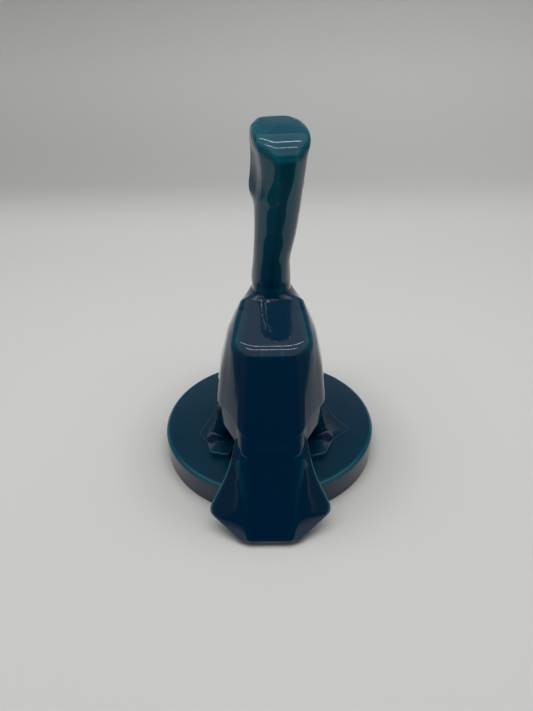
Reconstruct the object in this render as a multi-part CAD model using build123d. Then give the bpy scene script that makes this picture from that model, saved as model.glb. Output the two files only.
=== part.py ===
"""Glazed earthenware water bird standing on a round base.

The figure is slip cast in pieces: hollow castings for the base, body, neck and head, solid ones
for the thin parts. They are luted together with slip and glazed as one. Millimetres, +Z up, the
bird faces -Y, and the origin is the centre of the foot ring on the table.
"""
import os
from math import cos, hypot, radians, sin

from build123d import *

# Base
BASE_DIAMETER = 140.0
BASE_HEIGHT = 17.8
BASE_DECK = 6.0
BASE_SIDE_WALL = 8.0
BASE_TOP_RADIUS = 2.6
BASE_FOOT_RADIUS = 1.2

# Body, with the folded wings on it
BODY_HEIGHT = 100.2
BODY_DEPTH = 110.0
BODY_BREADTH = 67.0
UPPER_WING_RELIEF = 3.6
FLIGHT_FEATHER_RELIEF = 1.8
WING_BACK_EDGE = 0.8
WING_TUCK = 4.0

# Neck and head
NECK_HEIGHT = 50.0
NECK_DEPTH = 26.0
NECK_BREADTH = 24.0
HEAD_HEIGHT = 38.0
HEAD_DEPTH = 40.0
HEAD_BREADTH = 30.0
HEAD_TURN = 10.0
HEAD_SWAY = -3.2
LEAN = 0.025

# Castings and the joints between them
CAST_WALL = 5.0
AIR_PASSAGE_DIAMETER = 7.0
SPIGOT_WALL = 2.5
SPIGOT_LENGTH = 4.0
SLIP_GAP = 0.15

# Bill, laid down the front of the neck
BILL_BREADTH = 17.0
BILL_DEPTH = 17.5

# Tail, a faceted fan from the back of the body to just above the table
TAIL_BREADTH = 69.6
TAIL_THICKNESS = 8.0
TAIL_EDGE = 3.0
TAIL_OVERHANG = 23.0
TAIL_TIP_CLEARANCE = 1.8
TAIL_ROOT_STEP = 5.0
TAIL_ROOT_DROP = 0.06
# The tail's upper end lies under the wings, at shares of the body's depth and height from its root.
TAIL_HIDDEN_DEPTH = -0.0525
TAIL_HIDDEN_RISE = 0.1048

# Legs and feet
ANKLE_DIAMETER = 12.0
THIGH_DIAMETER = 20.0
THIGH_LEAN = 9.0
LEG_SPREAD = 63.0
LEG_SETBACK = 21.0
FOOT_LENGTH = 60.0
FOOT_BREADTH = 30.0
FOOT_THICKNESS = 3.6
FOOT_EDGE_RADIUS = 1.2
WEB_HOLLOW = 4.0

DECK = BASE_HEIGHT
NECK_JOINT = DECK + BODY_HEIGHT
HEAD_JOINT = NECK_JOINT + NECK_HEIGHT
SPIGOT_DIAMETER = AIR_PASSAGE_DIAMETER + 2 * SPIGOT_WALL


def ring(back, front, outline, sway=0.0, turn=0.0):
    """The corners of one cross-section. back and front are the (y, z) ends of the section on the
    plane of symmetry, and outline lists (half breadth, share of the way from back to front)."""
    middle = (back[0] + front[0]) / 2
    side = list(outline)
    corners = []
    for x, share in side + [(-x, share) for x, share in reversed(side)]:
        y = back[0] + (front[0] - back[0]) * share - middle
        z = back[1] + (front[1] - back[1]) * share
        turned_x = x * cos(radians(turn)) - y * sin(radians(turn))
        turned_y = x * sin(radians(turn)) + y * cos(radians(turn))
        corners.append(Vector(turned_x + sway - LEAN * z, middle + turned_y, z))
    return corners


def shifted(corners, distance):
    """A ring with each corner moved straight away from the ring's middle."""
    middle = sum(corners, Vector()) / len(corners)
    return [p + (p - middle).normalized() * distance for p in corners]


def stack(rings):
    """A faceted solid through a stack of rings."""
    return Solid.make_loft([Wire.make_polygon(corners, close=True) for corners in rings], ruled=True)


def passage(bottom, top, diameter, axis):
    """An upright cylinder between two heights, on the (x, y) of an axis."""
    return Pos(axis[0], axis[1], (bottom + top) / 2) * Cylinder(diameter / 2, top - bottom)


def plan_middle(corners):
    middle = sum(corners, Vector()) / len(corners)
    return middle.X, middle.Y


# ---------------------------------------------------------------- forms before they are hollowed
# Each row of the body: height and reach of its back, height and reach of its front, then the half
# outline. Heights are shares of BODY_HEIGHT, reaches of BODY_DEPTH and breadths of BODY_BREADTH.
BODY_ROWS = [
    (0.00, 0.236, 0.00, -0.218, ((0.12, 0), (0.27, 0.15), (0.33, 0.50), (0.27, 0.85), (0.12, 1))),
    (0.09, 0.427, 0.09, -0.345, ((0.15, 0), (0.36, 0.15), (0.44, 0.50), (0.36, 0.85), (0.14, 1))),
    (0.27, 0.530, 0.28, -0.413, ((0.22, 0), (0.40, 0.12), (0.50, 0.42), (0.40, 0.85), (0.135, 1))),
    (0.42, 0.545, 0.42, -0.436, ((0.246, 0), (0.39, 0.12), (0.485, 0.42), (0.37, 0.85), (0.12, 1))),
    (0.48, 0.525, 0.48, -0.431, ((0.242, 0), (0.375, 0.113), (0.47, 0.42), (0.36, 0.85), (0.117, 1))),
    (0.595, 0.473, 0.60, -0.418, ((0.228, 0), (0.34, 0.10), (0.43, 0.42), (0.33, 0.85), (0.11, 1))),
    (0.785, 0.373, 0.75, -0.373, ((0.17, 0), (0.29, 0.07), (0.37, 0.42), (0.29, 0.85), (0.105, 1))),
    (0.865, 0.200, 0.85, -0.327, ((0.157, 0), (0.27, 0.08), (0.32, 0.42), (0.25, 0.85), (0.105, 1))),
    (0.935, 0.045, 0.92, -0.282, ((0.134, 0), (0.23, 0.15), (0.26, 0.45), (0.21, 0.85), (0.105, 1))),
]
# How much of the wing's relief lies outside the body at each row, and at each corner of the half
# outline.
COVER_BY_ROW = (0.0, 0.3, 1.0, 1.0, 1.0, 1.0, 0.65, 0.35, 0.0)
COVER_BY_CORNER = (0.0, 1.0, 1.0, 0.8, 0.0)
FLIGHT_ROW = 2
WING_ROW = 3
TUCK_ROW = 4
WING_TOP_ROW = 7

# Each row of the neck and head: height share, back reach and front reach as shares of the depth,
# rise of the front over the back, share of the head's turn and sway, then the half outline.
NECK_ROWS = [
    (0.00, 0.08, -1.04, 0.0, 0.0, 0.0, ((0.27, 0), (0.39, 0.20), (0.48, 0.5), (0.44, 0.85), (0.25, 1))),
    (0.24, 0.00, -0.92, 0.0, 0.1, -0.1, ((0.24, 0), (0.37, 0.20), (0.42, 0.5), (0.40, 0.85), (0.23, 1))),
    (0.57, 0.04, -0.81, 0.0, 0.3, 0.44, ((0.23, 0), (0.41, 0.20), (0.47, 0.5), (0.42, 0.85), (0.23, 1))),
    (0.91, 0.19, -0.73, 0.0, 0.6, 0.81, ((0.23, 0), (0.44, 0.20), (0.51, 0.45), (0.46, 0.80), (0.23, 1))),
    (1.00, 0.27, -0.77, 0.0, 0.7, 0.84, ((0.24, 0), (0.45, 0.18), (0.52, 0.42), (0.48, 0.75), (0.23, 1))),
]
HEAD_ROWS = [
    (0.14, 0.21, -0.65, -0.03, 0.8, 0.875, ((0.19, 0), (0.37, 0.15), (0.42, 0.35), (0.47, 0.68), (0.20, 1))),
    (0.37, 0.275, -0.725, -0.03, 0.9, 0.875,
     ((0.20, 0), (0.39, 0.13), (0.43, 0.33), (0.52, 0.65), (0.22, 1))),
    (0.67, 0.34, -0.70, 0.065, 1.0, 1.0, ((0.22, 0), (0.43, 0.12), (0.49, 0.4), (0.50, 0.7), (0.23, 1))),
    (0.86, 0.31, -0.55, 0.15, 1.0, 1.0, ((0.25, 0), (0.43, 0.12), (0.48, 0.4), (0.45, 0.7), (0.27, 1))),
]


def body_rings(relief):
    """The body's rings, with the flanks drawn in by the part of the relief that is wing."""
    rings = []
    for row, cover in zip(BODY_ROWS, COVER_BY_ROW):
        back_height, back_reach, front_height, front_reach, outline = row
        back = (back_reach * BODY_DEPTH, DECK + back_height * BODY_HEIGHT)
        front = (front_reach * BODY_DEPTH, DECK + front_height * BODY_HEIGHT)
        side = []
        for (half, share), corner_cover in zip(outline, COVER_BY_CORNER):
            side.append((half * BODY_BREADTH - relief * cover * corner_cover, share))
        rings.append(ring(back, front, side))
    return rings


def upper_rings(rows, bottom, height, depth, breadth):
    """Rings of the neck or head, turning and swaying as they rise."""
    rings = []
    for level, back_reach, front_reach, rise, turn, sway, outline in rows:
        back = (back_reach * depth, bottom + level * height)
        front = (front_reach * depth, bottom + (level + rise) * height)
        side = [(half * breadth, share) for half, share in outline]
        rings.append(ring(back, front, side, sway * HEAD_SWAY, turn * HEAD_TURN))
    return rings


neck_rings = upper_rings(NECK_ROWS, NECK_JOINT, NECK_HEIGHT, NECK_DEPTH, NECK_BREADTH)
core_rings = body_rings(UPPER_WING_RELIEF) + [neck_rings[0]]
skin_rings = body_rings(0.0)
head_rings = [neck_rings[-1]] + upper_rings(HEAD_ROWS, HEAD_JOINT, HEAD_HEIGHT, HEAD_DEPTH, HEAD_BREADTH)

body_form = stack(core_rings)
neck_form = stack(neck_rings)
head_form = stack(head_rings)
neck_axis = plan_middle(neck_rings[0])
head_axis = plan_middle(neck_rings[-1])


# ---------------------------------------------------------------- castings
def make_base_disc():
    """A turned disc with a raised foot ring, and a hole for the collar under the body."""
    disc = Pos(0, 0, BASE_HEIGHT / 2) * Cylinder(BASE_DIAMETER / 2, BASE_HEIGHT)
    disc = fillet(disc.edges().group_by(Axis.Z)[-1], BASE_TOP_RADIUS)
    disc = fillet(disc.edges().group_by(Axis.Z)[0], BASE_FOOT_RADIUS)
    recess_height = BASE_HEIGHT - BASE_DECK
    recess = Pos(0, 0, recess_height / 2) * Cylinder(BASE_DIAMETER / 2 - BASE_SIDE_WALL, recess_height)
    collar_hole = passage(0, BASE_HEIGHT, SPIGOT_DIAMETER + 2 * SLIP_GAP, (0, 0))
    return disc - recess - collar_hole


def cavity(rings, bottom, top):
    """The hollow inside a stack of rings, one wall in from it, between two heights."""
    slab = Pos(0, 0, (bottom + top) / 2) * Box(4 * BODY_DEPTH, 4 * BODY_DEPTH, top - bottom)
    return stack([shifted(corners, -CAST_WALL) for corners in rings]) & slab


def make_body():
    """Hollow casting, open to the base through its collar and to the neck through its socket."""
    hollow = cavity(core_rings, DECK + CAST_WALL, NECK_JOINT - CAST_WALL)
    collar = passage(DECK - BASE_DECK, DECK + CAST_WALL / 2, SPIGOT_DIAMETER, (0, 0))
    socket = passage(
        NECK_JOINT - 2 * CAST_WALL, NECK_JOINT, SPIGOT_DIAMETER + 2 * SLIP_GAP, neck_axis)
    vent = passage(DECK - BASE_DECK, DECK + 2 * CAST_WALL, AIR_PASSAGE_DIAMETER, (0, 0))
    return body_form + collar - hollow - socket - vent


def make_neck():
    """Casting with a spigot down into the body, a socket for the head, and an air passage."""
    spigot = passage(NECK_JOINT - SPIGOT_LENGTH, NECK_JOINT + 1, SPIGOT_DIAMETER, neck_axis)
    foot = (neck_axis[0], neck_axis[1], NECK_JOINT - SPIGOT_LENGTH)
    head = (head_axis[0], head_axis[1], HEAD_JOINT)
    run = Edge.make_line(foot, head)
    bore = Plane(origin=(run @ 0.5), z_dir=run % 0.5) * Cylinder(
        AIR_PASSAGE_DIAMETER / 2, 1.2 * run.length)
    socket = passage(
        HEAD_JOINT - SPIGOT_LENGTH - SLIP_GAP, HEAD_JOINT, SPIGOT_DIAMETER + 2 * SLIP_GAP, head_axis)
    return neck_form + spigot - bore - socket


def make_head():
    """Hollow casting that closes the top of the air passage, with a spigot down into the neck."""
    spigot = passage(HEAD_JOINT - SPIGOT_LENGTH, HEAD_JOINT + 1, SPIGOT_DIAMETER, head_axis)
    crown = head_rings[-1][0].Z
    hollow = cavity(head_rings, HEAD_JOINT + CAST_WALL, crown - CAST_WALL)
    bore = passage(
        HEAD_JOINT - SPIGOT_LENGTH, HEAD_JOINT + 2 * CAST_WALL, AIR_PASSAGE_DIAMETER, head_axis)
    return head_form + spigot - hollow - bore


# Each row of the bill: what it stands in front of, its height from the joint above that as a share
# of the head, neck or body, its rear and front reaches as shares of BILL_DEPTH, and its half
# breadths at the rear and front as shares of half of BILL_BREADTH.
BILL_ROWS = [
    ("face", 0.53, 0.571, -0.114, 0.80, 0.30),
    ("face", 0.27, 0.571, -0.400, 0.95, 0.35),
    ("throat", -0.06, 0.229, -1.000, 1.00, 0.40),
    ("throat", -0.46, 0.229, -1.000, 0.94, 0.36),
    ("throat", -0.86, 0.057, -1.100, 0.76, 0.30),
    ("breast", -0.08, 0.457, -0.286, 0.52, 0.20),
    ("breast", -0.14, 0.229, -0.343, 0.36, 0.14),
    ("breast", -0.22, 0.057, -0.400, 0.20, 0.08),
]


def make_bill():
    """Solid bill from the face down to the breast, resting on the front of the neck."""
    half = BILL_BREADTH / 2
    supports = {
        # front of the support, height of its joint, and the size its heights are shares of
        "face": (head_rings[2][4].Y, HEAD_JOINT, HEAD_HEIGHT),
        "throat": (neck_rings[2][4].Y, HEAD_JOINT, NECK_HEIGHT),
        "breast": (core_rings[-3][4].Y, NECK_JOINT, BODY_HEIGHT),
    }
    rings = []
    for support, share, rear, front, rear_half, front_half in BILL_ROWS:
        y, joint, size = supports[support]
        height = joint + share * size
        outline = ((rear_half * half, 0), (rear_half * half, 0.5), (front_half * half, 1))
        ends = (y + rear * BILL_DEPTH, height), (y + front * BILL_DEPTH, height)
        rings.append(ring(*ends, outline, sway=0.6 * HEAD_SWAY))
    return stack(rings) - head_form - neck_form - body_form


# Each row of the tail: share of the length, half breadth of the middle facet, half breadth of the
# edge, drop of the edge below the middle facet, and thickness, as shares of the tail's own sizes.
TAIL_ROWS = [
    (-0.21, 0.474, 0.575, 0.50, 1.0),
    (0.14, 0.546, 0.647, 0.62, 1.0),
    (0.44, 0.489, 0.819, 0.94, 1.0),
    (0.71, 0.417, 1.000, 1.12, 1.0),
    (0.78, 0.402, 0.977, 1.06, 1.0),
    (1.00, 0.374, 0.546, 0.44, 0.62),
]


def make_tail():
    """Solid fan with a flat middle facet and two facets sloping to thin edges. Its first row is
    hidden and keeps its place on the body, however long the tail is."""
    root_row = core_rings[WING_ROW][0]
    root = (root_row.Y + TAIL_ROOT_STEP, root_row.Z - TAIL_ROOT_DROP * BODY_HEIGHT)
    tip = (BASE_DIAMETER / 2 + TAIL_OVERHANG, TAIL_TIP_CLEARANCE + 0.4 * TAIL_THICKNESS)
    length = hypot(tip[0] - root[0], tip[1] - root[1])
    along = ((tip[0] - root[0]) / length, (tip[1] - root[1]) / length)
    out = (-along[1], along[0])
    half = TAIL_BREADTH / 2
    rings = []
    for place, facet, edge, drop, thickness in TAIL_ROWS:
        if place < 0:
            y = root[0] + TAIL_HIDDEN_DEPTH * BODY_DEPTH
            z = root[1] + TAIL_HIDDEN_RISE * BODY_HEIGHT
        else:
            y = root[0] + along[0] * length * place
            z = root[1] + along[1] * length * place
        fall = drop * TAIL_THICKNESS
        profile = [
            (facet * half, 0.0),
            (edge * half, fall),
            (edge * half - TAIL_EDGE / 2, fall + TAIL_EDGE * thickness),
            (0.8 * facet * half, (TAIL_THICKNESS + 1) * thickness),
        ]
        side = [Vector(x - LEAN * z, y - out[0] * depth, z - out[1] * depth) for x, depth in profile]
        other = [Vector(-x - LEAN * z, y - out[0] * depth, z - out[1] * depth) for x, depth in profile]
        rings.append(side + other[::-1])
    return stack(rings) - body_form


def wing_plate(rows, side, relief):
    """A plate over one flank. Its outside stands off the body by the relief, down to a thin edge
    beside the flat of the back, and its inside is cut to the body."""
    corners_of_side = (0, 1, 2, 3) if side > 0 else (9, 8, 7, 6)
    sunk = UPPER_WING_RELIEF - relief
    rings = []
    for corners in rows:
        back_edge, *flank = [shifted(corners, -sunk)[corner] for corner in corners_of_side]
        back_edge = shifted(corners, WING_BACK_EDGE)[corners_of_side[0]]
        buried = shifted(corners, -UPPER_WING_RELIEF - WING_TUCK)
        rings.append([back_edge, *flank] + [buried[corner] for corner in reversed(corners_of_side)])
    return stack(rings) - body_form


def make_flight_feathers(side, tail):
    """The lower tier of the folded wing, tucked under the upper one."""
    rows = skin_rings[FLIGHT_ROW:TUCK_ROW + 1]
    return wing_plate(rows, side, FLIGHT_FEATHER_RELIEF) - tail


def make_upper_wing(side, flight_feathers, tail):
    rows = skin_rings[WING_ROW:WING_TOP_ROW + 1]
    return wing_plate(rows, side, UPPER_WING_RELIEF) - flight_feathers - tail


# Corners of each foot from the ankle, outwards then along -Y to the toes: front toe, outer toe,
# outer heel, inner heel, inner toe, in shares of the foot's breadth and length. The two feet were
# shaped by hand and differ.
FOOT_OUTLINES = {
    "right": ((0.23, -0.63), (0.73, -0.12), (0.10, 0.32), (-0.23, 0.375), (-0.40, -0.30)),
    "left": ((0.20, -0.60), (0.52, -0.07), (0.20, 0.29), (-0.19, 0.34), (-0.40, -0.30)),
}


def make_foot(side_name, side):
    """A webbed foot flat on the base, its web hollowed between the toes."""
    ankle = (side * LEG_SPREAD / 2 - LEAN * DECK, LEG_SETBACK)
    corners = [
        Vector(ankle[0] + side * x * FOOT_BREADTH, ankle[1] + y * FOOT_LENGTH, DECK)
        for x, y in FOOT_OUTLINES[side_name]
    ]
    front_toe, outer_toe, outer_heel, inner_heel, inner_toe = corners
    inward = Vector(-side, 0, 0)
    outline = [
        ThreePointArc(front_toe, (front_toe + outer_toe) / 2 + inward * WEB_HOLLOW, outer_toe),
        ThreePointArc(outer_toe, (outer_toe + outer_heel) / 2 + inward * WEB_HOLLOW, outer_heel),
        Line(outer_heel, inner_heel),
        Line(inner_heel, inner_toe),
        Line(inner_toe, front_toe),
    ]
    foot = extrude(make_face(Wire(outline)), FOOT_THICKNESS, dir=(0, 0, 1))
    foot = fillet(foot.edges().group_by(Axis.Z)[-1], FOOT_EDGE_RADIUS)
    return foot - body_form


def make_leg(side, flight_feathers):
    """A short leg from the top of the foot, widening as it leans in under the flank."""
    x, y = side * LEG_SPREAD / 2 - LEAN * DECK, LEG_SETBACK
    top = core_rings[FLIGHT_ROW][0].Z
    ankle = Plane(origin=(x, y, DECK + FOOT_THICKNESS)) * Wire.make_circle(ANKLE_DIAMETER / 2)
    thigh = Plane(origin=(x - side * THIGH_LEAN, y, top)) * Wire.make_circle(THIGH_DIAMETER / 2)
    return Solid.make_loft([ankle, thigh], ruled=True) - body_form - flight_feathers


def build_parts():
    tail = make_tail()
    parts = {
        "base_disc": make_base_disc(),
        "body": make_body(),
        "neck": make_neck(),
        "head": make_head(),
        "bill": make_bill(),
        "tail": tail,
    }
    for side_name, side in (("left", 1), ("right", -1)):
        feathers = make_flight_feathers(side, tail)
        parts[side_name + "_flight_feathers"] = feathers
        parts[side_name + "_upper_wing"] = make_upper_wing(side, feathers, tail)
        parts[side_name + "_foot"] = make_foot(side_name, side)
        parts[side_name + "_leg"] = make_leg(side, feathers)
    return parts


os.makedirs("parts", exist_ok=True)
for name, part in build_parts().items():
    export_step(part, "parts/" + name + ".step")
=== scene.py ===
import bpy
import numpy as np
from mathutils import Matrix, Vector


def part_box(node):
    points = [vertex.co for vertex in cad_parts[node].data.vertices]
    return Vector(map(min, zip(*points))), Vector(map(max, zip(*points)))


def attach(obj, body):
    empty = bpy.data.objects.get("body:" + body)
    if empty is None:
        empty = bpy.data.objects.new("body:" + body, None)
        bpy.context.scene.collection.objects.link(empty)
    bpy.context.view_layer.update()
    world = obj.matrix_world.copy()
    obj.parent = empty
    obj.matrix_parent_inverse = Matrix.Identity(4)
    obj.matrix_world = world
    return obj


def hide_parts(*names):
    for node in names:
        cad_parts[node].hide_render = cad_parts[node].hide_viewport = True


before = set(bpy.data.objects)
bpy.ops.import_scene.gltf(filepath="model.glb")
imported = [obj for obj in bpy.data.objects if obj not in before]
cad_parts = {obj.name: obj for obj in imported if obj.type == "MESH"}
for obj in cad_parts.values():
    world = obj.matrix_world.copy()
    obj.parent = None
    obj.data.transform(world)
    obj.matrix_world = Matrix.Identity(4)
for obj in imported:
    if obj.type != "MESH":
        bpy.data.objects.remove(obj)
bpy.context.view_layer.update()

# ---------------------------------------------------------------------------------- base disc
# A thick turned disc of slip-cast earthenware that the bird stands on, hollow underneath inside a
# foot ring. The glaze runs thin and pale over its top edge, and stops just above the table, where
# a line of bare clay shows.
MM = 0.001
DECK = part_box("base_disc")[1].z / MM
BASE_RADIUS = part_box("base_disc")[1].x / MM
BASE_WALL = 8.0
BASE_RECESS = DECK - 6.0
BASE_TOP_ROUND = 2.6
BASE_FOOT_ROUND = 0.9
RECESS_EDGE_ROUND = 0.5
RECESS_ROUND = 1.5
COLLAR_HOLE = 6.15
COLLAR_ROUND = 0.4
BARE_CLAY = 0.9
SPONGED_DEPTH = 0.12


class Tone:
    """A socket with a number in it, so that shader sums are written as sums."""

    def __init__(self, tree, socket):
        self.tree = tree
        self.socket = socket

    def math(self, operation, a, b):
        return add_node(self.tree, "ShaderNodeMath", {"operation": operation}, {0: a, 1: b})[0]

    def __add__(self, other):
        return self.math("ADD", self, other)

    def __sub__(self, other):
        return self.math("SUBTRACT", self, other)

    def __rsub__(self, other):
        return self.math("SUBTRACT", other, self)

    def __mul__(self, other):
        return self.math("MULTIPLY", self, other)

    def __pow__(self, other):
        return self.math("POWER", self, other)

    def __abs__(self):
        return self.math("ABSOLUTE", self, 0.0)

    def ramp(self, low, high):
        """0 below low, 1 above high, and smooth between."""
        settings = {"interpolation_type": "SMOOTHSTEP"}
        return add_node(self.tree, "ShaderNodeMapRange", settings, {0: self, 1: low, 2: high})[0]

    __radd__ = __add__
    __rmul__ = __mul__


def add_node(tree, kind, settings, inputs):
    """Adds one node, with its settings first and then the values or links of its sockets."""
    node = tree.nodes.new(kind)
    for name, value in settings.items():
        setattr(node, name, value)
    for key, value in inputs.items():
        if isinstance(value, Tone):
            tree.links.new(value.socket, node.inputs[key])
        else:
            node.inputs[key].default_value = value
    return [Tone(tree, socket) for socket in node.outputs]


THICK_GLAZE = (0.0003, 0.0150, 0.0395, 1.0)
THIN_GLAZE = (0.0060, 0.1100, 0.1550, 1.0)
POOLED_GLAZE = (0.0002, 0.0110, 0.0360, 1.0)
CLAY = (0.300, 0.130, 0.060, 1.0)


def mix_colour(tree, share, low, high):
    """Low where the share is 0, high where it is 1."""
    settings = {"data_type": "RGBA", "clamp_factor": True}
    return add_node(tree, "ShaderNodeMix", settings, {0: share, 6: low, 7: high})[2]


def glaze_material():
    """Clear glossy glaze stained dark teal. It is palest where the thin attribute is 1, over sharp
    edges, and it is deepest where it pools. A painted light also makes it paler up the head and
    neck and deeper low down, where the upper parts catch more light. The bare attribute is 1 on
    unglazed clay. Lengths are in metres and texture scales in turns a metre."""
    material = bpy.data.materials.new("teal_glaze")
    material.use_nodes = True
    tree = material.node_tree
    shader = tree.nodes["Principled BSDF"]
    place = add_node(tree, "ShaderNodeTexCoord", {}, {})[3]
    thin = add_node(tree, "ShaderNodeAttribute", {"attribute_name": "thin"}, {})[2]
    bare = add_node(tree, "ShaderNodeAttribute", {"attribute_name": "bare"}, {})[2]
    cloud = add_node(tree, "ShaderNodeTexNoise", {}, {0: place, 2: 22.0, 3: 3.0})[0]
    streak = add_node(tree, "ShaderNodeTexNoise", {}, {0: place, 2: 160.0, 3: 2.0})[0]
    speck = add_node(tree, "ShaderNodeTexVoronoi", {}, {0: place, 2: 110.0})[0]
    pinhole = 1 - speck.ramp(0.03, 0.07)
    # Painted light: a share that rises with height, so that the glaze colour is paler on the upper parts.
    painted_top_light = add_node(tree, "ShaderNodeSeparateXYZ", {}, {0: place})[2].ramp(0.03, 0.19)
    # How thin the glaze is, with the wandering of a brushed and fired coat, and with the painted light that
    # makes it paler higher up.
    flow = thin + painted_top_light * 0.54 + (cloud - 0.5) * 0.16 + (streak - 0.5) * 0.05
    pale = flow.ramp(0.06, 0.95)
    pool = (0 - flow).ramp(-0.05, 0.35)
    colour = mix_colour(tree, pale, THICK_GLAZE, THIN_GLAZE)
    colour = mix_colour(tree, pool, colour, POOLED_GLAZE)
    burst = pinhole * cloud.ramp(0.55, 0.7)
    colour = mix_colour(tree, burst * 0.5, colour, THIN_GLAZE)
    colour = mix_colour(tree, bare, colour, CLAY)
    rough = 0.035 + streak * 0.03 + bare * 0.6
    wave = add_node(tree, "ShaderNodeTexNoise", {}, {0: place, 2: 55.0, 3: 1.0})[0]
    grain = add_node(tree, "ShaderNodeTexNoise", {}, {0: place, 2: 900.0, 3: 3.0})[0]
    height = wave * 0.35 + streak * 0.01 - burst * 0.25 + grain * bare * 2.0
    bump = add_node(
        tree, "ShaderNodeBump", {}, {"Strength": 0.35, "Distance": 0.00005, "Height": height})[0]
    tree.links.new(colour.socket, shader.inputs["Base Color"])
    tree.links.new(rough.socket, shader.inputs["Roughness"])
    tree.links.new(bump.socket, shader.inputs["Normal"])
    shader.inputs["IOR"].default_value = 1.5
    return material


GLAZE = glaze_material()


def smooth_step(value, low, high):
    """0 below low, 1 above high, and between them three squares less two cubes of the share."""
    share = np.clip((value - low) / (high - low), 0, 1)
    return share * share * (3 - 2 * share)


def grid_normals(points, wrap_rows=False, wrap_columns=False):
    """The cross product of the directions along and across a grid of points."""
    def slope(axis, wrap):
        """The difference between the points on either side."""
        if wrap:
            return np.roll(points, -1, axis) - np.roll(points, 1, axis)
        return np.gradient(points, axis=axis, edge_order=2)
    normals = np.cross(slope(1, wrap_columns), slope(0, wrap_rows))
    return normals / np.maximum(np.linalg.norm(normals, axis=2, keepdims=True), 1e-9)


def bend(points, normals, wrap_rows, wrap_columns):
    """How sharply a grid bends outwards, in 1/mm: the sum, along and across, of how far a point
    stands above the middle of its neighbours, over the square of their spacing."""
    total = np.zeros(points.shape[:2])
    for axis, wrap in ((0, wrap_rows), (1, wrap_columns)):
        ahead = np.roll(points, -1, axis)
        behind = np.roll(points, 1, axis)
        ahead_step = np.linalg.norm(ahead - points, axis=2) + 1e-6
        behind_step = np.linalg.norm(behind - points, axis=2) + 1e-6
        pull = (ahead - points) / ahead_step[..., None] + (behind - points) / behind_step[..., None]
        curve = -2 * (pull * normals).sum(2) / (ahead_step + behind_step)
        if not wrap:
            along = np.moveaxis(curve, axis, 0)
            along[0] = along[1]
            along[-1] = along[-2]
        total += np.clip(curve, -1.0, 2.0)
    return total


def blur(values, times, wrap_rows, wrap_columns):
    """Each value averaged with its neighbours, over and over."""
    for _ in range(times):
        for axis, wrap in ((0, wrap_rows), (1, wrap_columns)):
            ahead = np.roll(values, -1, axis)
            behind = np.roll(values, 1, axis)
            if not wrap:
                along = np.moveaxis(values, axis, 0)
                np.moveaxis(ahead, axis, 0)[-1] = along[-1]
                np.moveaxis(behind, axis, 0)[0] = along[0]
            values = (ahead + 2 * values + behind) / 4
    return values


# The glaze keeps its thickness on bends gentler than LEAST_BEND, in 1/mm, and past that it goes
# paler by EDGE_PALE for each 1/mm.
LEAST_BEND = 0.10
EDGE_PALE = 1.05
FLAT = -LEAST_BEND * EDGE_PALE


def glaze_thinness(points, normals, wrap_rows=False, wrap_columns=False):
    """1 where the surface bends outwards within a millimetre or so, FLAT on a flat, and below that in
    hollows: the bend past LEAST_BEND, averaged over its neighbours."""
    sharp = np.clip(bend(points, normals, wrap_rows, wrap_columns) - LEAST_BEND, -0.5, 3)
    return np.clip(blur(sharp * EDGE_PALE, 3, wrap_rows, wrap_columns), -0.4, 1)


def grid_faces(rows, columns, wrap_rows, wrap_columns, first=0):
    """Corner numbers of the squares of a grid whose points are numbered row by row."""
    row = np.arange(rows if wrap_rows else rows - 1)[:, None]
    column = np.arange(columns if wrap_columns else columns - 1)[None, :]
    next_row = (row + 1) % rows
    next_column = (column + 1) % columns
    corners = [row * columns + column, row * columns + next_column,
               next_row * columns + next_column, next_row * columns + column]
    squares = np.stack([np.broadcast_to(c, (row.size, column.size)) for c in corners], -1)
    return squares.reshape(-1, 4) + first


def end_caps(rows, columns):
    """Point numbers round the first row of a tube's grid and round its last."""
    return range(columns), range((rows - 1) * columns, rows * columns)


def glazed_piece(name, points, faces, normals, thin, nodes, bare=None, caps=()):
    """Makes a piece from flat arrays of points, squares and normals. The squares are turned to face
    outwards: the volume they enclose, summed over each with the piece's middle, has to come out
    positive. Caps are lists of point numbers round an open end."""
    mesh = bpy.data.meshes.new(name)
    a, b, c, d = np.moveaxis(points[faces] - points.mean(0), 1, 0)
    volume = (a * (np.cross(b, c) + np.cross(c, d))).sum()
    squares = faces[:, ::-1] if volume < 0 else faces
    mesh.from_pydata((points * MM).tolist(), [], squares.tolist() + [list(cap) for cap in caps])
    mesh.validate()
    mesh.update()
    values = {"thin": thin, "bare": np.zeros(len(points)) if bare is None else bare}
    for key, value in values.items():
        attribute = mesh.attributes.new(key, "FLOAT", "POINT")
        attribute.data.foreach_set("value", np.asarray(value, np.float32).ravel())
    mesh.shade_smooth()
    mesh.normals_split_custom_set_from_vertices(normals.tolist())
    mesh.materials.append(GLAZE)
    piece = bpy.data.objects.new(name, mesh)
    bpy.context.scene.collection.objects.link(piece)
    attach(piece, "root")
    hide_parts(*nodes)


def arc(centre, radius, start, end, count):
    """Points of an arc in a profile's plane, its angles in degrees."""
    angle = np.radians(np.linspace(start, end, count))
    return np.stack([centre[0] + radius * np.cos(angle), centre[1] + radius * np.sin(angle)], 1)


def divided(profile, step):
    """A profile with its long straight runs divided into steps."""
    runs = []
    for a, b in zip(profile, np.roll(profile, -1, 0)):
        count = max(1, int(np.ceil(np.linalg.norm(b - a) / step)))
        runs.append(a + (b - a) * np.arange(count)[:, None] / count)
    return np.concatenate(runs)


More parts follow.
